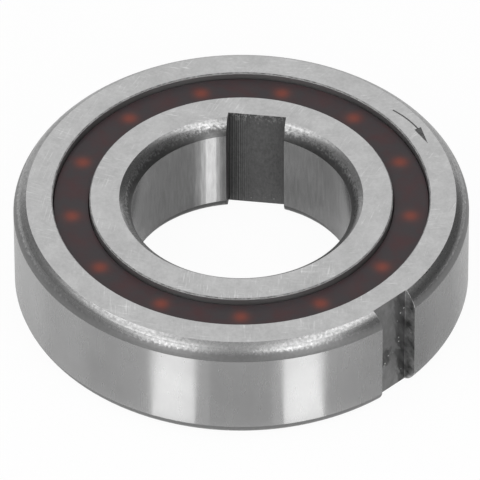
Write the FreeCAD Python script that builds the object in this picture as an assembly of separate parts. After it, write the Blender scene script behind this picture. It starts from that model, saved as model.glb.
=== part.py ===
import FreeCAD, Part
import math
import os

from FreeCAD import Vector

# Ball supported sprag clutch, millimetres.
# The origin is the centre of the bore at half the width. +Z is the clutch axis and leaves through the face
# that carries the direction arrow, and +X leaves through the keyway of the outer ring.

# Rings
BORE_DIAMETER = 30.0
OUTSIDE_DIAMETER = 62.0
WIDTH = 16.0
RACE_GAP = 5.0
PITCH_OFFSET_OUTWARD = 0.15
RACE_EDGE_CHAMFER = 0.15
OUTSIDE_CORNER_RADIAL = 1.75
OUTSIDE_CORNER_AXIAL = 2.1
BORE_CORNER_RADIAL = 1.6
BORE_CORNER_AXIAL = 2.1
CORNER_EDGE_ANGLE = 15.0

# Keyways
OUTER_KEYWAY_WIDTH = 6.0
OUTER_KEYWAY_DEPTH = 2.0
OUTER_KEYWAY_ANGLE = 0.0
INNER_KEYWAY_WIDTH = 8.0
INNER_KEYWAY_DEPTH = 2.0
INNER_KEYWAY_ANGLE = 129.2

# Balls and the grooves that they roll in
ELEMENT_COUNT = 13
FIRST_BALL_ANGLE = -43.5
BALL_DIAMETER = 5.556
BALL_TO_GROOVE_CLEARANCE = 0.01
GROOVE_CONFORMITY = 0.52

# Sprags, seen along the axis with the outer ring above
SPRAG_HALF_LENGTH = 5.5
SPRAG_HEAD_HALF_WIDTH = 1.4
SPRAG_WAIST_HALF_WIDTH = 0.95
SPRAG_WAIST_HEIGHT = 1.25
SPRAG_TO_RACE_CLEARANCE = 0.02
OUTER_CAM_RADIUS = 2.6
INNER_CAM_RADIUS = 2.3
CAM_OFFSET = 0.2
SPRING_STEP_CLEARANCE = 0.27

# Garter springs
SPRING_COIL_DIAMETER = 1.0
SPRING_OFFSET_OUTWARD = 1.47
SPRING_HEIGHT = 4.55
SPRING_SECTION_SIDES = 8

# Cage, moulded in two halves that meet at half the width
CAGE_RUNNING_GAP = 0.1
CAGE_FACE_RECESS = 1.0
CAGE_EDGE_CHAMFER = 0.1
POCKET_CLEARANCE = 0.12
POCKET_BELT_HALF = 1.0
POCKET_MOUTH_CLEARANCE = 0.35
WINDOW_SIDE_CLEARANCE = 0.35
WINDOW_END_CLEARANCE = 0.2
SPRING_CHANNEL_CLEARANCE = 0.1
PEG_DIAMETER = 0.8
PEG_LENGTH = 1.2
PEG_SOCKET_CLEARANCE = 0.03
PEG_SOCKET_END_CLEARANCE = 0.2
PEG_WALL = 0.4

# Worked out from the sizes above
BORE_RADIUS = BORE_DIAMETER / 2
OUTSIDE_RADIUS = OUTSIDE_DIAMETER / 2
HALF_WIDTH = WIDTH / 2
BALL_RADIUS = BALL_DIAMETER / 2
PITCH_RADIUS = (BORE_RADIUS + OUTSIDE_RADIUS) / 2 + PITCH_OFFSET_OUTWARD
INNER_RACE_RADIUS = PITCH_RADIUS - RACE_GAP / 2
OUTER_RACE_RADIUS = PITCH_RADIUS + RACE_GAP / 2
ELEMENT_PITCH = 360.0 / ELEMENT_COUNT
GROOVE_RADIUS = BALL_DIAMETER * GROOVE_CONFORMITY
CAGE_INNER_RADIUS = INNER_RACE_RADIUS + CAGE_RUNNING_GAP
CAGE_OUTER_RADIUS = OUTER_RACE_RADIUS - CAGE_RUNNING_GAP
CAGE_HALF_WIDTH = HALF_WIDTH - CAGE_FACE_RECESS
SPRING_SECTION_RADIUS = SPRING_COIL_DIAMETER / 2
SPRING_MEAN_RADIUS = PITCH_RADIUS + SPRING_OFFSET_OUTWARD
WINDOW_HALF_WIDTH = SPRAG_HEAD_HALF_WIDTH + WINDOW_SIDE_CLEARANCE
AXIS = Vector(0, 0, 1)
CENTRE = Vector(0, 0, 0)


def point(radius, height):
    return Vector(radius, 0, height)


def segment(start, end):
    return Part.LineSegment(start, end).toShape()


def arc(start, middle, end):
    return Part.Arc(start, middle, end).toShape()


def revolved(edges):
    """The solid that a closed profile in the XZ plane sweeps round the clutch axis."""
    return Part.Face(Part.Wire(edges)).revolve(CENTRE, AXIS, 360)


def turned(shape, angle):
    copy = shape.copy()
    copy.rotate(CENTRE, AXIS, angle)
    return copy


def patterned(shape):
    return [turned(shape, index * ELEMENT_PITCH) for index in range(ELEMENT_COUNT)]


def corner_arc(wall_radius, radial, axial, inward):
    """Barrelled corner that was left by turning when its wall and side face were ground, so both edges are crisp.

    The corner leans away from the wall by CORNER_EDGE_ANGLE where it starts. inward is -1 where the side face
    lies inside the wall, as on an outside corner, and +1 in a bore.
    """
    lean = math.atan2(radial, axial)
    bulge = math.hypot(radial, axial) / 2 * math.tan((lean - math.radians(CORNER_EDGE_ANGLE)) / 2)
    start = point(wall_radius, HALF_WIDTH - axial)
    end = point(wall_radius + inward * radial, HALF_WIDTH)
    middle = (start + end) / 2 + point(-inward * math.cos(lean), math.sin(lean)) * bulge
    return start, middle, end


def mirrored(place):
    return Vector(place.x, place.y, -place.z)


def race_edges(race_radius, groove_bottom, away):
    """Edges of one raceway, from its lower chamfer to its upper one.

    away is the direction from the ring's metal to the elements: +1 on the inner ring, -1 on the outer ring.
    """
    groove_centre = groove_bottom + away * GROOVE_RADIUS
    to_race = abs(groove_centre - race_radius)
    groove_half = math.sqrt(GROOVE_RADIUS ** 2 - to_race ** 2)
    chamfer_radius = race_radius - away * RACE_EDGE_CHAMFER
    land_height = HALF_WIDTH - RACE_EDGE_CHAMFER
    return [
        segment(point(chamfer_radius, -HALF_WIDTH), point(race_radius, -land_height)),
        segment(point(race_radius, -land_height), point(race_radius, -groove_half)),
        arc(point(race_radius, -groove_half), point(groove_bottom, 0), point(race_radius, groove_half)),
        segment(point(race_radius, groove_half), point(race_radius, land_height)),
        segment(point(race_radius, land_height), point(chamfer_radius, HALF_WIDTH)),
    ]


def ring(wall_radius, corner, race_radius, groove_bottom, away):
    """A bearing ring with two rounded corners on its plain wall and a grooved race on its other side."""
    start, middle, end = corner
    chamfer_radius = race_radius - away * RACE_EDGE_CHAMFER
    edges = race_edges(race_radius, groove_bottom, away)
    edges += [
        segment(point(chamfer_radius, HALF_WIDTH), end),
        arc(end, middle, start),
        segment(start, mirrored(start)),
        arc(mirrored(start), mirrored(middle), mirrored(end)),
        segment(mirrored(end), point(chamfer_radius, -HALF_WIDTH)),
    ]
    return revolved(edges)


def keyway(floor_radius, mouth_radius, width, angle):
    """A slot right across the ring, from its floor to past the wall that it opens through."""
    low = min(floor_radius, mouth_radius)
    depth = abs(mouth_radius - floor_radius)
    slot = Part.makeBox(depth, width, 2 * WIDTH, Vector(low, -width / 2, -WIDTH))
    return turned(slot, angle)


def outer_ring():
    corner = corner_arc(OUTSIDE_RADIUS, OUTSIDE_CORNER_RADIAL, OUTSIDE_CORNER_AXIAL, -1)
    groove_bottom = PITCH_RADIUS + BALL_RADIUS + BALL_TO_GROOVE_CLEARANCE
    body = ring(OUTSIDE_RADIUS, corner, OUTER_RACE_RADIUS, groove_bottom, -1)
    floor = OUTSIDE_RADIUS - OUTER_KEYWAY_DEPTH
    mouth = OUTSIDE_RADIUS + OUTER_KEYWAY_DEPTH
    return body.cut(keyway(floor, mouth, OUTER_KEYWAY_WIDTH, OUTER_KEYWAY_ANGLE))


def inner_ring():
    corner = corner_arc(BORE_RADIUS, BORE_CORNER_RADIAL, BORE_CORNER_AXIAL, 1)
    groove_bottom = PITCH_RADIUS - BALL_RADIUS - BALL_TO_GROOVE_CLEARANCE
    body = ring(BORE_RADIUS, corner, INNER_RACE_RADIUS, groove_bottom, 1)
    floor = BORE_RADIUS + INNER_KEYWAY_DEPTH
    mouth = BORE_RADIUS / 2
    return body.cut(keyway(floor, mouth, INNER_KEYWAY_WIDTH, INNER_KEYWAY_ANGLE))


def ball():
    return Part.makeSphere(BALL_RADIUS, Vector(PITCH_RADIUS, 0, 0))


def sprag_profile():
    """The sprag's outline on the +X side of the clutch: u runs clockwise seen from +Z, v runs outward.

    The two cams touch the races on a line that leans by CAM_OFFSET either side of the sprag's centre.
    """
    def place(u, v):
        return Vector(PITCH_RADIUS + v, -u, -SPRAG_HALF_LENGTH)

    half = SPRAG_HEAD_HALF_WIDTH
    waist = SPRAG_WAIST_HALF_WIDTH
    shoulder = SPRAG_WAIST_HEIGHT
    race_top = math.sqrt(OUTER_RACE_RADIUS ** 2 - CAM_OFFSET ** 2) - PITCH_RADIUS
    race_bottom = math.sqrt(INNER_RACE_RADIUS ** 2 - CAM_OFFSET ** 2) - PITCH_RADIUS
    cam_top = race_top - SPRAG_TO_RACE_CLEARANCE
    cam_bottom = race_bottom + SPRAG_TO_RACE_CLEARANCE
    top_centre = cam_top - OUTER_CAM_RADIUS
    bottom_centre = cam_bottom + INNER_CAM_RADIUS

    def cam_v(centre_v, radius, offset, u, side):
        return centre_v + side * math.sqrt(radius ** 2 - (u - offset) ** 2)

    top_right = place(half, cam_v(top_centre, OUTER_CAM_RADIUS, CAM_OFFSET, half, 1))
    top_left = place(-half, cam_v(top_centre, OUTER_CAM_RADIUS, CAM_OFFSET, -half, 1))
    bottom_right = place(half, cam_v(bottom_centre, INNER_CAM_RADIUS, -CAM_OFFSET, half, -1))
    bottom_left = place(-half, cam_v(bottom_centre, INNER_CAM_RADIUS, -CAM_OFFSET, -half, -1))
    return Part.Wire([
        arc(top_right, place(CAM_OFFSET, cam_top), top_left),
        segment(top_left, place(-half, shoulder)),
        arc(place(-half, shoulder), place(-waist, 0), place(-half, -shoulder)),
        segment(place(-half, -shoulder), bottom_left),
        arc(bottom_left, place(-CAM_OFFSET, cam_bottom), bottom_right),
        segment(bottom_right, place(half, -shoulder)),
        arc(place(half, -shoulder), place(waist, 0), place(half, shoulder)),
        segment(place(half, shoulder), top_right),
    ])


def sprag():
    """A sprag on the +X side, with a step at each end that the garter spring lies over."""
    length = 2 * SPRAG_HALF_LENGTH
    body = Part.Face(sprag_profile()).extrude(Vector(0, 0, length))
    step_radius = SPRING_MEAN_RADIUS - SPRING_SECTION_RADIUS - SPRING_STEP_CLEARANCE
    step_height = SPRING_HEIGHT - SPRING_SECTION_RADIUS - SPRING_CHANNEL_CLEARANCE
    step_depth = OUTSIDE_RADIUS - step_radius
    step_length = HALF_WIDTH - step_height
    corner = Vector(step_radius, -WINDOW_HALF_WIDTH, step_height)
    upper_step = Part.makeBox(step_depth, 2 * WINDOW_HALF_WIDTH, step_length, corner)
    lower_step = upper_step.mirror(CENTRE, AXIS)
    return body.cut([upper_step, lower_step])


def garter_spring():
    """The closed coil spring as the solid that its turns fill, in a many-sided section."""
    corners = []
    for index in range(SPRING_SECTION_SIDES):
        turn = math.radians((index + 0.5) * 360.0 / SPRING_SECTION_SIDES)
        radius = SPRING_MEAN_RADIUS + SPRING_SECTION_RADIUS * math.cos(turn)
        corners.append(point(radius, SPRING_HEIGHT + SPRING_SECTION_RADIUS * math.sin(turn)))
    edges = [segment(corners[index - 1], corners[index]) for index in range(SPRING_SECTION_SIDES)]
    return revolved(edges)


def cage_body():
    """The upper half of the cage before its pockets: a ring with small chamfers at its outer face."""
    chamfer_height = CAGE_HALF_WIDTH - CAGE_EDGE_CHAMFER
    corners = [
        point(CAGE_INNER_RADIUS, 0),
        point(CAGE_OUTER_RADIUS, 0),
        point(CAGE_OUTER_RADIUS, chamfer_height),
        point(CAGE_OUTER_RADIUS - CAGE_EDGE_CHAMFER, CAGE_HALF_WIDTH),
        point(CAGE_INNER_RADIUS + CAGE_EDGE_CHAMFER, CAGE_HALF_WIDTH),
        point(CAGE_INNER_RADIUS, chamfer_height),
    ]
    edges = [segment(corners[index - 1], corners[index]) for index in range(len(corners))]
    return revolved(edges)


def ball_pocket():
    """Barrel shaped pocket on the +X side: a belt round the ball and a mouth that narrows towards each race."""
    belt = BALL_RADIUS + POCKET_CLEARANCE
    reach = CAGE_OUTER_RADIUS - PITCH_RADIUS + CAGE_RUNNING_GAP
    mouth = math.sqrt(BALL_RADIUS ** 2 - (CAGE_OUTER_RADIUS - PITCH_RADIUS) ** 2) + POCKET_MOUTH_CLEARANCE
    outward = Vector(1, 0, 0)
    belt_start = Vector(PITCH_RADIUS - POCKET_BELT_HALF, 0, 0)
    belt_solid = Part.makeCylinder(belt, 2 * POCKET_BELT_HALF, belt_start, outward)
    taper = reach - POCKET_BELT_HALF
    outer_start = Vector(PITCH_RADIUS + POCKET_BELT_HALF, 0, 0)
    outer_mouth = Part.makeCone(belt, mouth, taper, outer_start, outward)
    inner_mouth = Part.makeCone(belt, mouth, taper, belt_start, outward.negative())
    return belt_solid.fuse([outer_mouth, inner_mouth]).removeSplitter()


def sprag_window():
    """Slot through the cage from race to race, on the +X side, for one half of a sprag."""
    height = SPRAG_HALF_LENGTH + WINDOW_END_CLEARANCE
    depth = OUTER_RACE_RADIUS - INNER_RACE_RADIUS
    corner = Vector(INNER_RACE_RADIUS, -WINDOW_HALF_WIDTH, -HALF_WIDTH)
    return Part.makeBox(depth, 2 * WINDOW_HALF_WIDTH, HALF_WIDTH + height, corner)


def spring_channel():
    """Groove round the outside of the cage that the garter spring lies in."""
    half = SPRING_SECTION_RADIUS + SPRING_CHANNEL_CLEARANCE
    inner = SPRING_MEAN_RADIUS - half
    base = Vector(0, 0, SPRING_HEIGHT - half)
    outside = Part.makeCylinder(OUTER_RACE_RADIUS, 2 * half, base)
    return outside.cut(Part.makeCylinder(inner, 2 * half, base))


def peg_places():
    """Centres of the pegs, one in the wall between each ball pocket and the window that follows it."""
    radius = CAGE_OUTER_RADIUS - PEG_WALL - PEG_DIAMETER / 2
    turn = math.degrees((WINDOW_HALF_WIDTH + PEG_WALL + PEG_DIAMETER / 2) / radius)
    first = FIRST_BALL_ANGLE + ELEMENT_PITCH / 2 - turn
    places = []
    for index in range(ELEMENT_COUNT):
        angle = math.radians(first + index * ELEMENT_PITCH)
        places.append(Vector(radius * math.cos(angle), radius * math.sin(angle), 0))
    return places


def cage_half():
    pocket = turned(ball_pocket(), FIRST_BALL_ANGLE)
    window = turned(sprag_window(), FIRST_BALL_ANGLE + ELEMENT_PITCH / 2)
    return cage_body().cut(patterned(pocket) + patterned(window) + [spring_channel()])


def cage_upper(half):
    """The half with the pegs, which reach down across the parting plane."""
    overlap = PEG_LENGTH / 2
    pegs = []
    for place in peg_places():
        base = place - AXIS * PEG_LENGTH
        pegs.append(Part.makeCylinder(PEG_DIAMETER / 2, PEG_LENGTH + overlap, base))
    return half.fuse(pegs).removeSplitter()


def cage_lower(half):
    """The half with the sockets that take the pegs."""
    lower = half.mirror(CENTRE, AXIS)
    depth = PEG_LENGTH + PEG_SOCKET_END_CLEARANCE
    sockets = []
    for place in peg_places():
        base = place - AXIS * depth
        sockets.append(Part.makeCylinder(PEG_DIAMETER / 2 + PEG_SOCKET_CLEARANCE, 2 * depth, base))
    return lower.cut(sockets)


def assembly():
    half = cage_half()
    spring = garter_spring()
    nodes = {
        "outer_ring": outer_ring(),
        "inner_ring": inner_ring(),
        "cage_upper": cage_upper(half),
        "cage_lower": cage_lower(half),
        "garter_spring_upper": spring,
        "garter_spring_lower": spring.mirror(CENTRE, AXIS),
    }
    balls = patterned(turned(ball(), FIRST_BALL_ANGLE))
    sprags = patterned(turned(sprag(), FIRST_BALL_ANGLE + ELEMENT_PITCH / 2))
    for index in range(ELEMENT_COUNT):
        nodes["ball_%02d" % (index + 1)] = balls[index]
        nodes["sprag_%02d" % (index + 1)] = sprags[index]
    return nodes


def write_nodes(nodes):
    os.makedirs("parts", exist_ok=True)
    for name, shape in nodes.items():
        if shape.ShapeType == "Compound" and len(shape.Solids) == 1:
            shape = shape.Solids[0]
        shape.exportStep("parts/%s.step" % name)
        print(name, shape.ShapeType, len(shape.Solids), shape.isValid(), round(shape.Volume, 3))


write_nodes(assembly())
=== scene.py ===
import math

import bmesh
import bpy
from mathutils import Matrix, Vector


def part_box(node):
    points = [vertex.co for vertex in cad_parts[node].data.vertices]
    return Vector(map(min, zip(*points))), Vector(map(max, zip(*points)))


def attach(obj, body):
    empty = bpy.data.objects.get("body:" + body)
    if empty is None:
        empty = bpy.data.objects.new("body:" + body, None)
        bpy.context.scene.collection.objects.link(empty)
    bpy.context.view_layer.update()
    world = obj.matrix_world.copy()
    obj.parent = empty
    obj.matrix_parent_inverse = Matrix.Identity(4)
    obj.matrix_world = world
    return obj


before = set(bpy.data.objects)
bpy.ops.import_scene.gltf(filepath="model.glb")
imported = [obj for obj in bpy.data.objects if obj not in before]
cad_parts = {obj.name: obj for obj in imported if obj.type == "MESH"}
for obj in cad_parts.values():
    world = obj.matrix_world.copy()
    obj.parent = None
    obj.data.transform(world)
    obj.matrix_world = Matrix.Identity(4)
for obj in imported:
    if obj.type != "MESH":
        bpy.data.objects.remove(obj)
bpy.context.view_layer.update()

MM = 0.001
WHITE = (1.0, 1.0, 1.0, 1.0)

# The photograph's camera: a long lens that looks down at the clutch. Angles are in degrees, the azimuth
# counts from -Y, distances are in metres, and the lens and its sensor in millimetres
CAMERA_AZIMUTH = 46.8
CAMERA_ELEVATION = 41.92
CAMERA_ROLL = -0.26
CAMERA_DISTANCE = 1.5
CAMERA_NEAR = 0.1
CAMERA_FAR = 20.0
CAMERA_LENS = 824.8
CAMERA_SENSOR = 36.0
CAMERA_AIM_RIGHT = -0.19 * MM
CAMERA_AIM_UP = 0.08 * MM

# Sizes of the clutch in millimetres, and angles in degrees about +Z
HALF_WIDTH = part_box("outer_ring")[1][2] / MM
WALL_HALF = 5.9
OUTSIDE_RADIUS = 31.0
BORE_RADIUS = 15.0
PITCH_RADIUS = 23.15
RACE_REACH = 2.85
# The keyways' worn entry: width of a lighter line along one edge, which is wear and a painted highlight
OUTER_KEYWAY = {"width": 6.0, "floor": 29.0, "opens": 1.0, "angle": 0.0, "worn": 0.09}
INNER_KEYWAY = {"width": 8.0, "floor": 17.0, "opens": -1.0, "angle": 129.2, "worn": 0.0}
ELEMENT_COUNT = 13
FIRST_BALL_ANGLE = -43.5

# How near a point must be to count as on a flat face, on a round wall or on a side of a keyway
FACE_MARGIN = 0.005
WALL_MARGIN = 0.04
SIDE_MARGIN = 0.02

# The range that most of a noise lies in, and narrower ones for a corner's mottle and a keyway's smears
NOISE_RANGE = (0.3, 0.7)
MOTTLE_RANGE = (0.38, 0.62)
SMEAR_RANGE = (0.36, 0.62)

# Ground walls: darkest and lightest steel, roughness, and the grain: cells per millimetre round, along
# and through, its share of shade and its relief in millimetres
OUTSIDE_WALL = {"steel": (0.422, 0.452), "roughness": 0.27,
                "cells": (0.7, 0.16, 0.0), "grain": 0.007, "relief": 0.0002}
BORE_WALL = {"steel": (0.255, 0.285), "roughness": 0.20,
             "cells": (2.4, 0.30, 0.0), "grain": 0.035, "relief": 0.008}

# Turned corners: heights between which smooth turns to mottled, how ragged that seam is, both steels, and
# the height of a fine dark line
OUTSIDE_CORNER = {"seam": (6.80, 7.05), "ragged": 0.16,
                  "smooth": (0.185, 0.215), "mottled": (0.24, 0.38)}
BORE_CORNER = {"seam": (6.75, 7.45), "ragged": 0.42,
               "smooth": (0.10, 0.13), "mottled": (0.24, 0.37)}
CORNER_LINE_HEIGHT = 7.42

# Side faces: the far centre that grinding scratches bend round, and how stretched their patches are
FACE_SCRATCHES = (((70.0, 40.0, 0.0), 1.0), ((-55.0, 65.0, 0.0), 1.7))
SCRATCH_PATCHES = 0.16

# Races: heights between which the worn edge sets in, and how far that edge falls back at the side face
RACE_EDGE = (7.80, 7.86)
RACE_EDGE_DROP = 0.17

# Keyways: distance between broach lines, height of the stained spot, and the lean of smears in degrees
BROACH_PITCH = 0.26
STAIN_SPOT_HEIGHT = -2.0
SMEAR_LEAN = 24.0

# Resin of the cage: plain, reddish, and a painted highlight where a ball shows through. The sprags'
# fainter painted highlights use the reddish. Then each painted highlight's reach in millimetres,
# round and out
RESIN_PLAIN = (0.027, 0.021, 0.0235, 1.0)
RESIN_REDDISH = (0.046, 0.0155, 0.0175, 1.0)
RESIN_PAINTED_GLINT = (0.162, 0.032, 0.019, 1.0)
BALL_GLINT_REACH = (1.0, 1.0)
SPRAG_GLINT_REACH = (1.7, 1.3)

# Softboxes: azimuth from the camera's side, elevation and lean in degrees, width and height in metres,
# and brightness
SOFTBOX_DISTANCE = 0.6
SOFTBOXES = (
    ("strip_left", -64.0, 55.5, -25.0, 0.70, 0.31, 1.65),
    ("strip_right", 36.4, 51.1, 46.6, 0.52, 0.23, 2.3),
    ("strip_right_far", 101.0, 58.5, 0.0, 0.27, 0.11, 2.0),
    ("strip_left_low", -31.0, 21.0, 5.0, 0.15, 0.42, 2.9),
    ("strip_right_low", 29.5, 21.0, -5.0, 0.15, 0.42, 2.9),
)
# Cards: azimuth from the camera's side and elevation in degrees, width and height in metres, brightness
CARD_DISTANCE = 0.9
CARDS = (
    ("card_front_low", 0.0, 21.0, 1.5, 0.90, 0.36),
    ("card_front_high", 0.0, 68.0, 0.70, 0.64, 0.60),
    ("card_left", -98.0, 30.0, 1.6, 0.80, 0.34),
    ("card_right", 99.0, 31.0, 1.8, 0.88, 0.13),
)
# Strips on the floor that ground walls mirror: wall radius, the side that the wall faces, the azimuths
# that the strip starts from, its reach from the wall in millimetres and its brightness
FLOOR_STRIPS = (
    ("floor_shade_far_left", OUTSIDE_RADIUS, 1.0, -58.0, -42.0, 30.0, 0.74),
    ("floor_shade_left", OUTSIDE_RADIUS, 1.0, -42.0, -23.0, 30.0, 0.62),
    ("floor_strip_left", OUTSIDE_RADIUS, 1.0, -23.0, -11.8, 30.0, 1.85),
    ("floor_shade_front_left", OUTSIDE_RADIUS, 1.0, -11.8, -8.2, 30.0, 0.78),
    ("floor_shade_front", OUTSIDE_RADIUS, 1.0, -8.2, 7.6, 30.0, 0.61),
    ("floor_shade_front_right", OUTSIDE_RADIUS, 1.0, 7.6, 10.4, 30.0, 0.75),
    ("floor_strip_right", OUTSIDE_RADIUS, 1.0, 10.4, 20.6, 30.0, 1.95),
    ("floor_shade_right", OUTSIDE_RADIUS, 1.0, 20.6, 38.0, 30.0, 0.60),
    ("floor_shade_keyway", OUTSIDE_RADIUS, 1.0, 38.0, 54.0, 30.0, 0.46),
    ("floor_shade_far_right", OUTSIDE_RADIUS, 1.0, 54.0, 68.0, 30.0, 0.60),
    ("floor_shade_bore_right", BORE_RADIUS, -1.0, -75.0, 13.5, 16.0, 0.63),
    ("floor_shade_bore_left", BORE_RADIUS, -1.0, 18.9, 75.0, 16.0, 0.50),
)
FLOOR_STRIP_START = 2.2
FLOOR_STRIP_RISE = 0.05
# Upright strips close to the bore's wall, for the one bright band beside the keyway: the azimuths that
# each covers, its gap to the wall in millimetres and its brightness
BORE_STRIPS = (
    ("bore_strip_soft", 10.0, 25.0, 1.6, 0.80),
    ("bore_strip_half", 11.4, 21.8, 1.4, 1.35),
    ("bore_strip_full", 13.2, 18.9, 1.2, 2.35),
)
BORE_STRIP_HEIGHTS = (-7.9, 7.0)
STRIP_STEPS = 8

# Plain light from the world, the floor's half side in metres, and how white the camera and mirror images
# see that floor
WORLD_LIGHT = 0.6
FLOOR_HALF = 4.0
FLOOR_WHITE = 0.95
FLOOR_WHITE_MIRRORED = 0.50

# Sockets of the Mix node for numbers and for colours: below, above and result
MIX_SOCKETS = {"FLOAT": (2, 3, 0), "RGBA": (6, 7, 2)}


def add_node(tree, kind, **settings):
    node = tree.nodes.new(kind)
    for name, value in settings.items():
        setattr(node, name, value)
    return node


def feed(tree, socket, value):
    """Links a socket to another socket, or sets it to a plain value."""
    if isinstance(value, bpy.types.NodeSocket):
        tree.links.new(value, socket)
    else:
        socket.default_value = value


def maths(tree, operation, first, second=0.0):
    node = add_node(tree, "ShaderNodeMath", operation=operation)
    feed(tree, node.inputs[0], first)
    feed(tree, node.inputs[1], second)
    return node.outputs[0]


def chained(tree, operation, values):
    result = values[0]
    for value in values[1:]:
        result = maths(tree, operation, result, value)
    return result


def product(tree, *values):
    return chained(tree, "MULTIPLY", values)


def total(tree, *values):
    return chained(tree, "ADD", values)


def distance_to(tree, value, target):
    return maths(tree, "ABSOLUTE", maths(tree, "SUBTRACT", value, target))


def within(tree, value, centre, reach):
    """1 where the value is nearer than reach to the centre, else 0."""
    return maths(tree, "LESS_THAN", distance_to(tree, value, centre), reach)


def vector_maths(tree, operation, first, second):
    node = add_node(tree, "ShaderNodeVectorMath", operation=operation)
    feed(tree, node.inputs[0], first)
    feed(tree, node.inputs[1], second)
    return node.outputs["Vector"]


def joined(tree, *parts):
    node = add_node(tree, "ShaderNodeCombineXYZ")
    for socket, part in zip(node.inputs, parts):
        feed(tree, socket, part)
    return node.outputs[0]


def split(tree, point):
    node = add_node(tree, "ShaderNodeSeparateXYZ")
    feed(tree, node.inputs[0], point)
    return node.outputs["X"], node.outputs["Y"], node.outputs["Z"]


def spread(tree, value, low, high, to_low=0.0, to_high=1.0):
    """Maps low..high to to_low..to_high and holds the ends."""
    node = add_node(tree, "ShaderNodeMapRange")
    for name, number in (("Value", value), ("From Min", low), ("From Max", high),
                         ("To Min", to_low), ("To Max", to_high)):
        feed(tree, node.inputs[name], number)
    return node.outputs[0]


def varied(tree, value, low, high):
    """Maps the usual range of a noise to low..high."""
    return spread(tree, value, *NOISE_RANGE, low, high)


def noise(tree, point, scales, detail=2.0, roughness=0.5):
    """Noise from 0 to 1 with so many cells per millimetre along each of the point's axes."""
    node = add_node(tree, "ShaderNodeTexNoise")
    feed(tree, node.inputs["Vector"], vector_maths(tree, "MULTIPLY", point, scales))
    node.inputs["Scale"].default_value = 1.0
    node.inputs["Detail"].default_value = detail
    node.inputs["Roughness"].default_value = roughness
    return node.outputs["Fac"]


def even_noise(tree, point, cells, detail=2.0, roughness=0.5):
    return noise(tree, point, (cells, cells, cells), detail, roughness)


def blended(tree, factor, below, above, kind="FLOAT"):
    """A mix of two numbers, or of two colours if the kind is RGBA."""
    node = add_node(tree, "ShaderNodeMix", data_type=kind)
    below_socket, above_socket, result = MIX_SOCKETS[kind]
    feed(tree, node.inputs[0], factor)
    feed(tree, node.inputs[below_socket], below)
    feed(tree, node.inputs[above_socket], above)
    return node.outputs[result]


def millimetres(tree):
    """The surface point in the row frame, in millimetres."""
    place = add_node(tree, "ShaderNodeTexCoord").outputs["Object"]
    return vector_maths(tree, "MULTIPLY", place, (1 / MM, 1 / MM, 1 / MM))


def turned(tree, point, angle, axis="Z"):
    """The point in axes that are turned by angle degrees about one of them."""
    node = add_node(tree, "ShaderNodeVectorRotate", rotation_type=axis + "_AXIS")
    feed(tree, node.inputs["Vector"], point)
    node.inputs["Angle"].default_value = -math.radians(angle)
    return node.outputs["Vector"]


def polar(tree, point):
    """Angle about +Z in radians, distance from the axis, and height."""
    x, y, z = split(tree, point)
    node = add_node(tree, "ShaderNodeVectorMath", operation="LENGTH")
    feed(tree, node.inputs[0], joined(tree, x, y))
    return maths(tree, "ARCTAN2", y, x), node.outputs["Value"], z


def unrolled(tree, point, radius):
    """Length round the axis at the given radius, height, and distance from the axis."""
    angle, distance, height = polar(tree, point)
    return joined(tree, maths(tree, "MULTIPLY", angle, radius), height, distance)


def new_material(name):
    material = bpy.data.materials.new(name)
    material.use_nodes = True
    tree = material.node_tree
    return material, tree, tree.nodes["Principled BSDF"]


def raise_relief(tree, shader, relief):
    """Bumps the shader's surface by a relief in millimetres."""
    node = add_node(tree, "ShaderNodeBump")
    node.inputs["Distance"].default_value = MM
    feed(tree, node.inputs["Height"], relief)
    tree.links.new(node.outputs[0], shader.inputs["Normal"])


def mix_surface(tree, factor, below, above):
    """Shows one shader where the factor is 0 and the other where it is 1."""
    mix = add_node(tree, "ShaderNodeMixShader")
    feed(tree, mix.inputs[0], factor)
    tree.links.new(below.outputs[0], mix.inputs[1])
    tree.links.new(above.outputs[0], mix.inputs[2])
    tree.links.new(mix.outputs[0], tree.nodes["Material Output"].inputs["Surface"])


def arc_scratches(tree, point, centre, stretch):
    """Fine grinding scratches along arcs round a far centre, in loose patches."""
    arcs = unrolled(tree, vector_maths(tree, "SUBTRACT", point, centre), math.hypot(*centre))
    lines = noise(tree, arcs, (0.3, 0.0, 4.5), 3.0, 0.6)
    patches = noise(tree, point, (SCRATCH_PATCHES, SCRATCH_PATCHES * stretch, 0.0))
    return product(tree, spread(tree, lines, 0.56, 0.72), spread(tree, patches, 0.47, 0.62))


def ground_face(tree, point):
    """Side face ground flat: crossing arc scratches over faint cloudy patches and a fine grain."""
    scratches = total(tree, *[arc_scratches(tree, point, *scratch) for scratch in FACE_SCRATCHES])
    clouds = even_noise(tree, point, 0.3, 5.0, 0.7)
    grain = even_noise(tree, point, 2.2, 4.0, 0.7)
    shade = total(tree, varied(tree, clouds, 0.43, 0.53), product(tree, scratches, 0.22),
                  varied(tree, grain, -0.035, 0.035))
    return shade, varied(tree, clouds, 0.34, 0.40), product(tree, scratches, 0.004)


def turned_corner(tree, point, corner):
    """Corner as turned and hardened: mottled beside the side face, smooth and darker beside the wall."""
    height = maths(tree, "ABSOLUTE", split(tree, point)[2])
    mottle = even_noise(tree, point, 2.6, 3.0, 0.6)
    rings = noise(tree, unrolled(tree, point, PITCH_RADIUS), (0.08, 3.0, 3.0))
    mixed = total(tree, product(tree, mottle, 0.65), product(tree, rings, 0.35))
    ragged = total(tree, height, varied(tree, mottle, -corner["ragged"], corner["ragged"]))
    upper = spread(tree, ragged, *corner["seam"])
    shade = blended(tree, upper, spread(tree, mixed, *MOTTLE_RANGE, *corner["smooth"]),
                    spread(tree, mixed, *MOTTLE_RANGE, *corner["mottled"]))
    broken = spread(tree, rings, 0.42, 0.58, 1.0, 0.80)
    line = spread(tree, distance_to(tree, height, CORNER_LINE_HEIGHT), 0.03, 0.08, broken, 1.0)
    roughness = blended(tree, upper, 0.42, spread(tree, mixed, *MOTTLE_RANGE, 0.34, 0.26))
    return product(tree, shade, line), roughness, product(tree, mixed, upper, 0.006)


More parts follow.
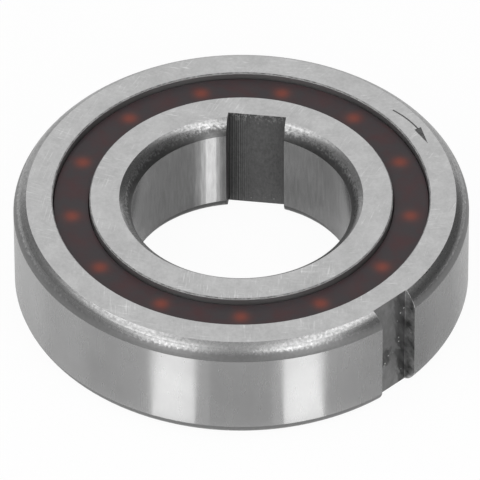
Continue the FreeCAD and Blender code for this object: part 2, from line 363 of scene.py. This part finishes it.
def honed_race(tree, point):
    """Race with fine rings from honing, and a thin worn and chipped edge where it meets the side face."""
    height = maths(tree, "ABSOLUTE", split(tree, point)[2])
    rings = noise(tree, unrolled(tree, point, PITCH_RADIUS), (0.1, 8.0, 8.0))
    chips = even_noise(tree, point, 1.6, 3.0, 0.7)
    worn = spread(tree, total(tree, height, varied(tree, chips, -0.05, 0.05)), *RACE_EDGE)
    shade = blended(tree, worn, varied(tree, rings, 0.41, 0.46),
                    spread(tree, chips, 0.40, 0.62, 0.16, 0.36))
    roughness = blended(tree, worn, varied(tree, rings, 0.46, 0.52), 0.5)
    return shade, roughness, spread(tree, height, RACE_EDGE[0], HALF_WIDTH, 0.0, -RACE_EDGE_DROP)


def edge_wear_and_highlight(tree, local, keyway):
    """1 in a thin, broken line along one edge of a keyway, as wide as the keyway's worn size: wear, and a
    painted highlight, since only the one edge is made lighter.
    """
    out, across = split(tree, local)[:2]
    on_line = within(tree, across, keyway["width"] / 2, keyway["worn"])
    line_breaks = even_noise(tree, local, 1.2, 3.0, 0.7)
    return product(tree, on_line, spread(tree, line_breaks, 0.36, 0.50), maths(tree, "GREATER_THAN", out, 0.0))


def specks(tree, point, per_millimetre, share, size):
    """1 in small round specks at some of the cells of a loose grid."""
    cells = add_node(tree, "ShaderNodeTexVoronoi")
    feed(tree, cells.inputs["Vector"], point)
    cells.inputs["Scale"].default_value = per_millimetre
    chance = split(tree, cells.outputs["Color"])[0]
    return product(tree, spread(tree, cells.outputs["Distance"], size * 0.6, size, 1.0, 0.0),
                   maths(tree, "LESS_THAN", chance, share))


def broached_inner_keyway(tree, point):
    """Dark keyway in the bore: broach lines along one side, a frayed upper rim, and specks near both."""
    across, along = split(tree, point)[1:]
    grain = noise(tree, point, (3.5, 3.5, 2.0), 3.0, 0.7)
    wander = product(tree, noise(tree, point, (0.2, 2.0, 0.02)), 9.0)
    wave = maths(tree, "SINE", total(tree, product(tree, across, 2 * math.pi / BROACH_PITCH), wander))
    lines = product(tree, wave, spread(tree, across, 0.8, 2.8), 0.06)
    plain = product(tree, total(tree, spread(tree, across, 0.0, 3.6, 0.165, 0.106), lines),
                    varied(tree, grain, 0.75, 1.25))
    to_rim = total(tree, along, varied(tree, grain, -0.7, 0.7))
    frayed = product(tree, spread(tree, to_rim, 6.9, 7.9), spread(tree, grain, 0.50, 0.60, -0.03, 0.16))
    near_rim = spread(tree, maths(tree, "ABSOLUTE", along), 5.6, 7.2)
    bright = product(tree, specks(tree, point, 1.6, 0.12, 0.18), near_rim, 0.3)
    shade = total(tree, plain, total(tree, frayed, bright))
    return shade, varied(tree, grain, 0.5, 0.62), product(tree, grain, 0.015)


def milled_outer_keyway(tree, point):
    """Keyway in the outside: grey floor, darker beside one side and in a stained spot, a dark smeared
    side, tiny bright specks.
    """
    across, along = split(tree, point)[1:]
    grain = noise(tree, point, (0.9, 0.9, 0.45), 4.0, 0.7)
    ragged = varied(tree, grain, -0.9, 0.9)
    smears = noise(tree, turned(tree, point, SMEAR_LEAN, "X"), (0.5, 1.1, 0.32), 4.0, 0.6)
    near_side = spread(tree, total(tree, across, varied(tree, smears, -1.0, 1.0)), 1.2, 1.9)
    to_spot = total(tree, distance_to(tree, along, STAIN_SPOT_HEIGHT), ragged)
    spot = product(tree, spread(tree, to_spot, 1.2, 1.9, 1.0, 0.0),
                   spread(tree, total(tree, across, ragged), -0.4, 0.3, 0.8, 0.0))
    darker_floor = maths(tree, "MAXIMUM", near_side, spot)
    on_side = within(tree, across, OUTER_KEYWAY["width"] / 2, SIDE_MARGIN)
    patch_tone = blended(tree, on_side, spread(tree, smears, *SMEAR_RANGE, 0.045, 0.15),
                      spread(tree, smears, *SMEAR_RANGE, 0.16, 0.75))
    bright = product(tree, specks(tree, point, 0.9, 0.25, 0.12), darker_floor, 0.9)
    shade = total(tree, blended(tree, darker_floor, varied(tree, grain, 0.20, 0.30), patch_tone), bright)
    return shade, spread(tree, darker_floor, 0.0, 1.0, 0.5, 0.38), product(tree, grain, 0.03)


def layered(tree, base, layers):
    """Lays each masked finish over the ones before it."""
    result = base
    for mask, finish in layers:
        result = [blended(tree, mask, below, above) for below, above in zip(result, finish)]
    return result


def in_keyway(tree, local, keyway):
    """1 on the walls and floor of a keyway, for a point in the keyway's own axes."""
    out, across = split(tree, local)[:2]
    past_floor = product(tree, maths(tree, "SUBTRACT", out, keyway["floor"]), keyway["opens"])
    return product(tree, maths(tree, "GREATER_THAN", past_floor, -FACE_MARGIN),
                   maths(tree, "GREATER_THAN", out, 0.0),
                   within(tree, across, 0.0, keyway["width"] / 2 + FACE_MARGIN))


def ground_wall(tree, point, radius, wall):
    """Cylinder wall ground round and round, which draws highlights out along the clutch axis."""
    shader = add_node(tree, "ShaderNodeBsdfPrincipled")
    streaks = noise(tree, unrolled(tree, point, radius), wall["cells"], 3.0, 0.6)
    clouds = even_noise(tree, point, 0.22, 3.0)
    shade = total(tree, varied(tree, clouds, *wall["steel"]),
                  varied(tree, streaks, -wall["grain"], wall["grain"]))
    feed(tree, shader.inputs["Base Color"], shade)
    feed(tree, shader.inputs["Roughness"],
         varied(tree, streaks, wall["roughness"] - 0.01, wall["roughness"] + 0.01))
    shader.inputs["Metallic"].default_value = 1.0
    shader.inputs["Anisotropic"].default_value = 1.0
    shader.inputs["Anisotropic Rotation"].default_value = 0.25
    tangent = add_node(tree, "ShaderNodeTangent", direction_type="RADIAL", axis="Z")
    tree.links.new(tangent.outputs[0], shader.inputs["Tangent"])
    raise_relief(tree, shader, product(tree, streaks, wall["relief"]))
    return shader


def ring_steel(name, wall_radius, wall, corner, keyway, keyway_finish):
    """Bearing steel whose finish changes from surface to surface of one ring."""
    material, tree, shader = new_material(name)
    point = millimetres(tree)
    local = turned(tree, point, keyway["angle"])
    distance, height = polar(tree, point)[1:]
    on_race = within(tree, distance, PITCH_RADIUS, RACE_REACH)
    on_face = maths(tree, "GREATER_THAN", maths(tree, "ABSOLUTE", height), HALF_WIDTH - FACE_MARGIN)
    cut = in_keyway(tree, local, keyway)
    shade, roughness, relief = layered(tree, turned_corner(tree, point, corner), (
        # A lighter line along one keyway edge: wear, and a painted highlight
        (edge_wear_and_highlight(tree, local, keyway), (0.60, 0.45, 0.0)),
        (on_race, honed_race(tree, point)),
        (on_face, ground_face(tree, point)),
        (cut, keyway_finish(tree, local)),
    ))
    feed(tree, shader.inputs["Base Color"], shade)
    feed(tree, shader.inputs["Roughness"], roughness)
    shader.inputs["Metallic"].default_value = 1.0
    raise_relief(tree, shader, relief)
    on_wall = product(tree, within(tree, distance, wall_radius, WALL_MARGIN),
                      within(tree, height, 0.0, WALL_HALF + FACE_MARGIN),
                      maths(tree, "SUBTRACT", 1.0, cut))
    mix_surface(tree, on_wall, shader, ground_wall(tree, point, wall_radius, wall))
    return material


def hidden_steel(name, shade, roughness):
    """Hardened steel of the balls, sprags and springs, with faint grinding marks."""
    material, tree, shader = new_material(name)
    marks = even_noise(tree, millimetres(tree), 3.0, 3.0)
    feed(tree, shader.inputs["Base Color"], varied(tree, marks, shade - 0.03, shade + 0.03))
    feed(tree, shader.inputs["Roughness"], varied(tree, marks, roughness, roughness + 0.08))
    shader.inputs["Metallic"].default_value = 1.0
    return material


def element_glint(tree, angle, distance, first_angle, reach):
    """A soft spot at each of the evenly spaced elements, where a painted highlight goes: 1 in its middle
    and 0 far from it.
    """
    step = 2 * math.pi / ELEMENT_COUNT
    turn = maths(tree, "DIVIDE", maths(tree, "SUBTRACT", angle, math.radians(first_angle)), step)
    nearest = maths(tree, "SUBTRACT", turn, maths(tree, "ROUND", turn))
    along = maths(tree, "MULTIPLY", nearest, step * PITCH_RADIUS / reach[0])
    across = maths(tree, "DIVIDE", maths(tree, "SUBTRACT", distance, PITCH_RADIUS), reach[1])
    square = total(tree, product(tree, along, along), product(tree, across, across))
    return maths(tree, "EXPONENT", product(tree, square, -1.0))


def cage_resin():
    """Dark resin, translucent in the real cage: the highlights of the steel elements inside it are
    painted on as soft orange glows.
    """
    material, tree, shader = new_material("cage_resin_painted_glints")
    point = millimetres(tree)
    angle, distance = polar(tree, point)[:2]
    ball_glint = element_glint(tree, angle, distance, FIRST_BALL_ANGLE, BALL_GLINT_REACH)
    first_sprag_angle = FIRST_BALL_ANGLE + 180.0 / ELEMENT_COUNT
    sprag_glint = element_glint(tree, angle, distance, first_sprag_angle, SPRAG_GLINT_REACH)
    clouds = even_noise(tree, point, 0.45, 3.0, 0.6)
    # The reddish tone in clouds, plus the sprags' painted highlights
    reddish_and_sprag_glint = total(tree, spread(tree, clouds, 0.42, 0.62, 0.0, 0.45), product(tree, sprag_glint, 0.5))
    base = blended(tree, reddish_and_sprag_glint, RESIN_PLAIN, RESIN_REDDISH, "RGBA")
    # The balls' highlights seen through the resin, painted into the colour
    feed(tree, shader.inputs["Base Color"], blended(tree, ball_glint, base, RESIN_PAINTED_GLINT, "RGBA"))
    feed(tree, shader.inputs["Roughness"], spread(tree, clouds, 0.35, 0.65, 0.38, 0.46))
    shader.inputs["IOR"].default_value = 1.38
    raise_relief(tree, shader, product(tree, even_noise(tree, point, 2.5), 0.01))
    return material


def arrow_mark():
    """Laser mark: dark, rough steel with fine hatching."""
    material, tree, shader = new_material("laser_mark")
    hatch = noise(tree, turned(tree, millimetres(tree), 35.0), (1.0, 9.0, 1.0))
    feed(tree, shader.inputs["Base Color"], spread(tree, hatch, 0.35, 0.65, 0.05, 0.15))
    shader.inputs["Metallic"].default_value = 0.6
    feed(tree, shader.inputs["Roughness"], spread(tree, hatch, 0.35, 0.65, 0.55, 0.7))
    return material


def linked_object(name, shape):
    """Turns a finished bmesh into an object in the scene."""
    mesh = bpy.data.meshes.new(name)
    shape.to_mesh(mesh)
    shape.free()
    piece = bpy.data.objects.new(name, mesh)
    bpy.context.scene.collection.objects.link(piece)
    return piece


def arrow_outline():
    """Radius and angle of each corner of the arrow, about the centre that its shaft bends round."""
    bend, shaft_half, head_half = 13.9, 0.115, 0.52
    tail, neck, tip = 22.4, 1.4, -12.6
    steps = 16
    shaft = [tail + (neck - tail) * index / steps for index in range(steps + 1)]
    outline = [(bend + shaft_half, angle) for angle in shaft]
    outline += [(bend + head_half, neck), (bend, tip), (bend - head_half, neck)]
    outline += [(bend - shaft_half, angle) for angle in reversed(shaft)]
    return outline


def make_arrow():
    """Direction arrow on the outer ring: a thin curved shaft and a filled head, pointing clockwise."""
    centre_angle, centre_radius = 76.0, 14.0
    sink, rise = 0.05, 0.004
    middle = Matrix.Rotation(math.radians(centre_angle), 3, "Z")
    shape = bmesh.new()
    lower, upper = [], []
    for rim, height in ((lower, HALF_WIDTH - sink), (upper, HALF_WIDTH + rise)):
        for radius, angle in arrow_outline():
            turn = math.radians(angle)
            flat = Vector((centre_radius + radius * math.cos(turn), radius * math.sin(turn), height))
            rim.append(shape.verts.new(middle @ flat * MM))
    shape.faces.new(lower)
    shape.faces.new(upper[::-1])
    for index in range(len(lower)):
        shape.faces.new((lower[index], lower[index - 1], upper[index - 1], upper[index]))
    arrow = linked_object("direction_arrow", shape)
    arrow.data.materials.append(arrow_mark())
    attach(arrow, "outer_ring")


def dress_nodes():
    """Gives every node of the clutch its finish, by the first word of its name."""
    finishes = {
        "outer": ring_steel("steel_outer_ring", OUTSIDE_RADIUS, OUTSIDE_WALL, OUTSIDE_CORNER,
                            OUTER_KEYWAY, milled_outer_keyway),
        "inner": ring_steel("steel_inner_ring", BORE_RADIUS, BORE_WALL, BORE_CORNER,
                            INNER_KEYWAY, broached_inner_keyway),
        "cage": cage_resin(),
        "garter": hidden_steel("steel_spring", 0.45, 0.3),
        "ball": hidden_steel("steel_ball", 0.6, 0.1),
        "sprag": hidden_steel("steel_sprag", 0.5, 0.25),
    }
    for name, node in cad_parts.items():
        for place in node.material_slots:
            place.material = finishes[name.split("_")[0]]


def from_camera(azimuth, elevation, distance):
    """A point seen from the clutch's centre, with azimuth turned from the camera's side."""
    turn = math.radians(CAMERA_AZIMUTH + azimuth - 90.0)
    rise = math.radians(elevation)
    flat = math.cos(rise)
    return Vector((math.cos(turn) * flat, math.sin(turn) * flat, math.sin(rise))) * distance


def facing_centre(place, lean=0.0):
    """Sets a thing at a place so that it faces the clutch, leaning by degrees about its line of sight."""
    look = place.to_track_quat("Z", "Y").to_matrix()
    return Matrix.Translation(place) @ (look @ Matrix.Rotation(math.radians(lean), 3, "Z")).to_4x4()


def white_emission(tree, strength=1.0):
    emission = add_node(tree, "ShaderNodeEmission")
    emission.inputs["Color"].default_value = WHITE
    emission.inputs["Strength"].default_value = strength
    return emission


def light_stage(piece, strength, on_matt):
    """Makes a stage piece glow where the camera doesn't see it, and on matt surfaces only if on_matt."""
    material = bpy.data.materials.new(piece.name)
    material.use_nodes = True
    tree = material.node_tree
    tree.nodes.clear()
    output = add_node(tree, "ShaderNodeOutputMaterial")
    tree.links.new(white_emission(tree, strength).outputs[0], output.inputs["Surface"])
    piece.data.materials.append(material)
    piece.visible_camera = False
    piece.visible_shadow = False
    piece.visible_diffuse = on_matt


def make_card(name, azimuth, elevation, width, height, strength):
    """A flat studio card that faces the clutch."""
    shape = bmesh.new()
    bmesh.ops.create_grid(shape, x_segments=1, y_segments=1, size=0.5)
    bmesh.ops.scale(shape, vec=(width, height, 1), verts=shape.verts)
    card = linked_object(name, shape)
    card.matrix_world = facing_centre(from_camera(azimuth, elevation, CARD_DISTANCE))
    light_stage(card, strength, on_matt=True)


def make_softbox(name, azimuth, elevation, lean, width, height, radiance):
    """An area lamp that leans over the clutch."""
    lamp = bpy.data.lights.new(name, "AREA")
    lamp.shape = "RECTANGLE"
    lamp.size = width
    lamp.size_y = height
    lamp.energy = math.pi * width * height * radiance
    lamp_object = bpy.data.objects.new(name, lamp)
    lamp_object.matrix_world = facing_centre(from_camera(azimuth, elevation, SOFTBOX_DISTANCE), lean)
    bpy.context.scene.collection.objects.link(lamp_object)


def make_strip(name, first, last, ends_at, radiance):
    """A bright strip beside a wall, through the two points that ends_at gives for each azimuth."""
    shape = bmesh.new()
    previous = None
    for index in range(STRIP_STEPS + 1):
        azimuth = first + (last - first) * index / STRIP_STEPS
        ends = [shape.verts.new(place) for place in ends_at(azimuth)]
        if previous:
            shape.faces.new((previous[0], previous[1], ends[1], ends[0]))
        previous = ends
    light_stage(linked_object(name, shape), radiance, on_matt=False)


def off_wall(azimuth, radius, side, gap, height):
    """A point off a wall, in the direction that the wall mirrors to the camera from that azimuth."""
    place = from_camera(azimuth, 0.0, side * radius * MM) + from_camera(2 * azimuth, 0.0, gap * MM)
    return place.x, place.y, height * MM


def make_floor_strip(name, radius, side, first, last, reach, radiance):
    """A strip on the floor beside a wall, whose mirror image on that wall is an upright band."""
    def ends_at(azimuth):
        return [off_wall(azimuth, radius, side, gap, FLOOR_STRIP_RISE - HALF_WIDTH)
                for gap in (FLOOR_STRIP_START, reach)]
    make_strip(name, first, last, ends_at, radiance)


def make_bore_strip(name, first, last, gap, radiance):
    """An upright strip in front of the bore's wall, which only that wall mirrors to the camera."""
    def ends_at(azimuth):
        return [off_wall(azimuth, BORE_RADIUS, -1.0, gap, height) for height in BORE_STRIP_HEIGHTS]
    make_strip(name, first, last, ends_at, radiance)


def seen_directly(tree, in_camera, in_reflection):
    """One value for the camera's rays, one for those that shiny or clear surfaces send on, else 0."""
    path = add_node(tree, "ShaderNodeLightPath")
    sent_on = maths(tree, "MAXIMUM", path.outputs["Is Glossy Ray"], path.outputs["Is Transmission Ray"])
    return maths(tree, "MAXIMUM", product(tree, path.outputs["Is Camera Ray"], in_camera),
                 product(tree, sent_on, in_reflection))


def make_world():
    """White all round for the camera and mirror images, and a plain level of light on matt surfaces."""
    world = bpy.data.worlds.new("studio")
    bpy.context.scene.world = world
    world.use_nodes = True
    tree = world.node_tree
    background = tree.nodes["Background"]
    background.inputs["Color"].default_value = WHITE
    feed(tree, background.inputs["Strength"],
         maths(tree, "MAXIMUM", seen_directly(tree, 1.0, 1.0), WORLD_LIGHT))


def make_floor():
    """A wide pale floor that looks white and keeps the clutch's shadow."""
    shape = bmesh.new()
    bmesh.ops.create_grid(shape, x_segments=1, y_segments=1, size=FLOOR_HALF)
    bmesh.ops.translate(shape, vec=(0, 0, -HALF_WIDTH * MM), verts=shape.verts)
    floor = linked_object("floor", shape)
    material, tree, shader = new_material("pale_floor")
    shader.inputs["Roughness"].default_value = 0.9
    shader.inputs["Specular IOR Level"].default_value = 0.0
    grain = even_noise(tree, millimetres(tree), 0.05)
    feed(tree, shader.inputs["Base Color"], varied(tree, grain, 0.84, 0.86))
    seen_white = seen_directly(tree, FLOOR_WHITE, FLOOR_WHITE_MIRRORED)
    mix_surface(tree, seen_white, shader, white_emission(tree))
    floor.data.materials.append(material)


def make_camera():
    camera = bpy.data.cameras.new("camera")
    camera.sensor_width = CAMERA_SENSOR
    camera.lens = CAMERA_LENS
    camera.clip_start = CAMERA_NEAR
    camera.clip_end = CAMERA_FAR
    camera_object = bpy.data.objects.new("camera", camera)
    away = from_camera(0.0, CAMERA_ELEVATION, 1.0)
    facing = away.to_track_quat("Z", "Y").to_matrix()
    target = facing.col[0] * CAMERA_AIM_RIGHT + facing.col[1] * CAMERA_AIM_UP
    rolled = facing @ Matrix.Rotation(math.radians(CAMERA_ROLL), 3, "Z")
    camera_object.matrix_world = Matrix.Translation(target + away * CAMERA_DISTANCE) @ rolled.to_4x4()
    bpy.context.scene.collection.objects.link(camera_object)
    bpy.context.scene.camera = camera_object


bpy.context.scene.view_settings.view_transform = "Standard"
dress_nodes()
make_arrow()
make_world()
make_floor()
for card in CARDS:
    make_card(*card)
for softbox in SOFTBOXES:
    make_softbox(*softbox)
for strip in FLOOR_STRIPS:
    make_floor_strip(*strip)
for strip in BORE_STRIPS:
    make_bore_strip(*strip)
make_camera()
